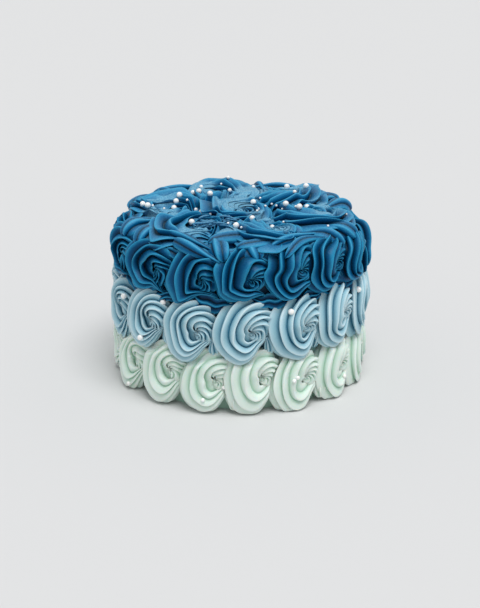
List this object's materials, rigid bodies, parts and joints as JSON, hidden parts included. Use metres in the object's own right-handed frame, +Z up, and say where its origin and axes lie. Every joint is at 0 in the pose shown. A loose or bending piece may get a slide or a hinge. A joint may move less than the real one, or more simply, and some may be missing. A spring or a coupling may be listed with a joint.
{
  "type": "ombre rosette cake",
  "caption": "Round layer cake covered in piped buttercream rosettes that fade from dark blue at the top to pale mint at the foot, with scattered sugar pearls.",
  "frame": {"origin": "middle of the cake's flat underside", "axes": "+Z up, -Y towards the front of the picture, +X to the right"},
  "size_m": [0.1924, 0.1923, 0.1264],
  "materials": {
    "crumb_coat": "thin smooth buttercream coat under the rosettes, dark blue above, dusty blue and mint below",
    "mint_buttercream": "smooth piped buttercream, soft satin",
    "dusty_blue_buttercream": "smooth piped buttercream, soft satin",
    "dark_blue_buttercream": "piped buttercream, slightly airy and torn at its edges, satin",
    "sugar_pearl": "ivory sugar pearl with a soft shine"
  },
  "bodies": {
    "root": {"tier": "crumb_coat", "mint-rosette-01": "mint_buttercream", "mint-rosette-02": "mint_buttercream", "mint-rosette-03": "mint_buttercream", "mint-rosette-04": "mint_buttercream", "mint-rosette-05": "mint_buttercream", "mint-rosette-06": "mint_buttercream", "mint-rosette-07": "mint_buttercream", "mint-rosette-08": "mint_buttercream", "mint-rosette-09": "mint_buttercream", "mint-rosette-10": "mint_buttercream", "mint-rosette-11": "mint_buttercream", "mint-rosette-12": "mint_buttercream", "mint-rosette-13": "mint_buttercream", "mint-rosette-14": "mint_buttercream", "mint-rosette-15": "mint_buttercream", "mint-rosette-16": "mint_buttercream", "dark-rosette-01": "dark_blue_buttercream", "dark-rosette-02": "dark_blue_buttercream", "dark-rosette-03": "dark_blue_buttercream", "dark-rosette-04": "dark_blue_buttercream", "dark-rosette-05": "dark_blue_buttercream", "dark-rosette-06": "dark_blue_buttercream", "dark-rosette-07": "dark_blue_buttercream", "dark-rosette-08": "dark_blue_buttercream", "dark-rosette-09": "dark_blue_buttercream", "dark-rosette-10": "dark_blue_buttercream", "dark-rosette-11": "dark_blue_buttercream", "dark-rosette-12": "dark_blue_buttercream", "dark-rosette-13": "dark_blue_buttercream", "dark-rosette-14": "dark_blue_buttercream", "dark-rosette-15": "dark_blue_buttercream", "dark-rosette-16": "dark_blue_buttercream", "dusty-rosette-01": "dusty_blue_buttercream", "dusty-rosette-02": "dusty_blue_buttercream", "dusty-rosette-03": "dusty_blue_buttercream", "dusty-rosette-04": "dusty_blue_buttercream", "dusty-rosette-05": "dusty_blue_buttercream", "dusty-rosette-06": "dusty_blue_buttercream", "dusty-rosette-07": "dusty_blue_buttercream", "dusty-rosette-08": "dusty_blue_buttercream", "dusty-rosette-09": "dusty_blue_buttercream", "dusty-rosette-10": "dusty_blue_buttercream", "dusty-rosette-11": "dusty_blue_buttercream", "dusty-rosette-12": "dusty_blue_buttercream", "dusty-rosette-13": "dusty_blue_buttercream", "dusty-rosette-14": "dusty_blue_buttercream", "dusty-rosette-15": "dusty_blue_buttercream", "crown-rosette-1": "dark_blue_buttercream", "crown-rosette-2": "dark_blue_buttercream", "crown-rosette-3": "dark_blue_buttercream", "crown-rosette-4": "dark_blue_buttercream", "crown-rosette-5": "dark_blue_buttercream", "crown-rosette-6": "dark_blue_buttercream", "crown-rosette-middle": "dark_blue_buttercream"}
  },
  "joints": []
}
